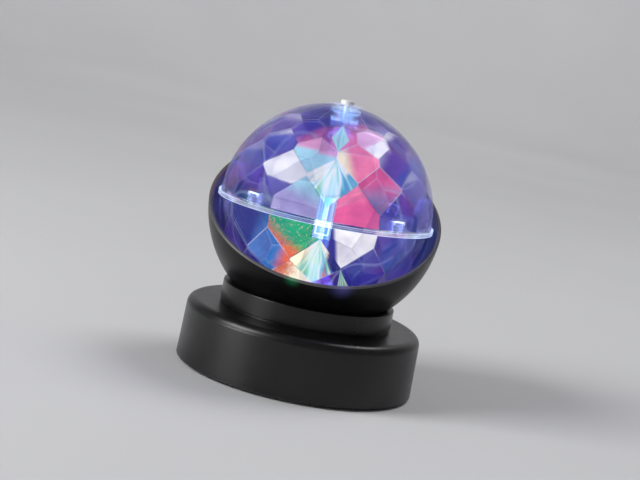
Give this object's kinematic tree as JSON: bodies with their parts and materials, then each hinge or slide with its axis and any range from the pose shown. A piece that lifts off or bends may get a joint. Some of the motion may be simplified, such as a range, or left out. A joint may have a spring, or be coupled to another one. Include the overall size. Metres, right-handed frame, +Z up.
{
  "type": "kaleidoscope lamp",
  "caption": "Battery night lamp: a clear faceted ball lit by coloured lights turns slowly in an obliquely cut black bowl on a round base with a geared motor.",
  "frame": {"origin": "centre of the foot circle on the table", "axes": "+Z up along the ball's axis, -Y to the low front of the bowl's rim, +X to the right seen from the front"},
  "size_m": [0.1088, 0.1088, 0.1273],
  "materials": {
    "black_satin": "satin, fine grain",
    "black_matte": "matte",
    "black_gloss": "smooth",
    "steel": "zinc plated",
    "motor_steel": "plated can",
    "brass": "turned",
    "foot_rubber": "matte",
    "cell_jacket": "plain jacket",
    "white_plastic": "moulded",
    "board": "solder mask",
    "resistor": "lacquer",
    "red_light": "clear dome",
    "green_light": "clear dome",
    "blue_light": "clear dome",
    "clear_plastic": "clear, polished"
  },
  "bodies": {
    "lamp_base": {"base_shell": "black_satin", "base_plate": "black_matte", "base_screws": "steel", "rubber_feet": "foot_rubber", "battery_cells": "cell_jacket", "contact_springs": "steel", "contact_plates": "steel", "switch_frame": "steel", "switch_terminals": "brass", "switch_screws": "steel", "gear_deck": "white_plastic", "deck_screws": "steel", "motor_can": "motor_steel", "motor_screws": "steel", "gear_pins": "steel", "floor_bush": "brass", "neck_collar": "black_gloss", "bowl": "black_satin", "bowl_screws": "steel", "led_board": "board", "led_board_screws": "steel", "led_leads": "steel", "red_led": "red_light", "green_led": "green_light", "blue_led": "blue_light", "led_resistors": "resistor"},
    "ball": {"ball_lower": "clear_plastic", "ball_upper": "clear_plastic", "crown_screw": "steel", "clear_post": "clear_plastic", "spindle_shaft": "steel", "output_gear": "white_plastic"},
    "second_gear": {"second_gear": "white_plastic"},
    "first_gear": {"first_gear": "white_plastic"},
    "motor_drive": {"motor_shaft": "steel", "motor_pinion": "brass"},
    "door": {"battery_door": "black_matte"},
    "knob": {"switch_knob": "black_matte"}
  },
  "joints": [
    {"name": "ball_spin", "type": "hinge", "parent": "lamp_base", "child": "ball", "pos_m": [0, 0, 0.077], "axis": [0, 0, 1], "continuous": true},
    {"name": "second_gear_spin", "type": "hinge", "parent": "lamp_base", "child": "second_gear", "pos_m": [0.01691, 0.00616, 0.022], "axis": [0, 0, 1], "continuous": true},
    {"name": "first_gear_spin", "type": "hinge", "parent": "lamp_base", "child": "first_gear", "pos_m": [0.01431, 0.02093, 0.021], "axis": [0, 0, 1], "continuous": true},
    {"name": "motor_spin", "type": "hinge", "parent": "lamp_base", "child": "motor_drive", "pos_m": [0.00021, 0.02606, 0.02], "axis": [0, 0, 1], "continuous": true},
    {"name": "switch_slide", "type": "slide", "parent": "lamp_base", "child": "knob", "axis": [1, 0, 0], "range_m": [0, 0.004]},
    {"name": "battery_door_swing", "type": "hinge", "parent": "lamp_base", "child": "door", "pos_m": [0, 0.013, 0.0019], "axis": [1, 0, 0], "range_deg": [0, 75]}
  ],
  "couplings": [
    {"joint": "second_gear_spin", "follows": "ball_spin", "ratio": -5},
    {"joint": "first_gear_spin", "follows": "ball_spin", "ratio": 20},
    {"joint": "motor_spin", "follows": "ball_spin", "ratio": -80}
  ]
}
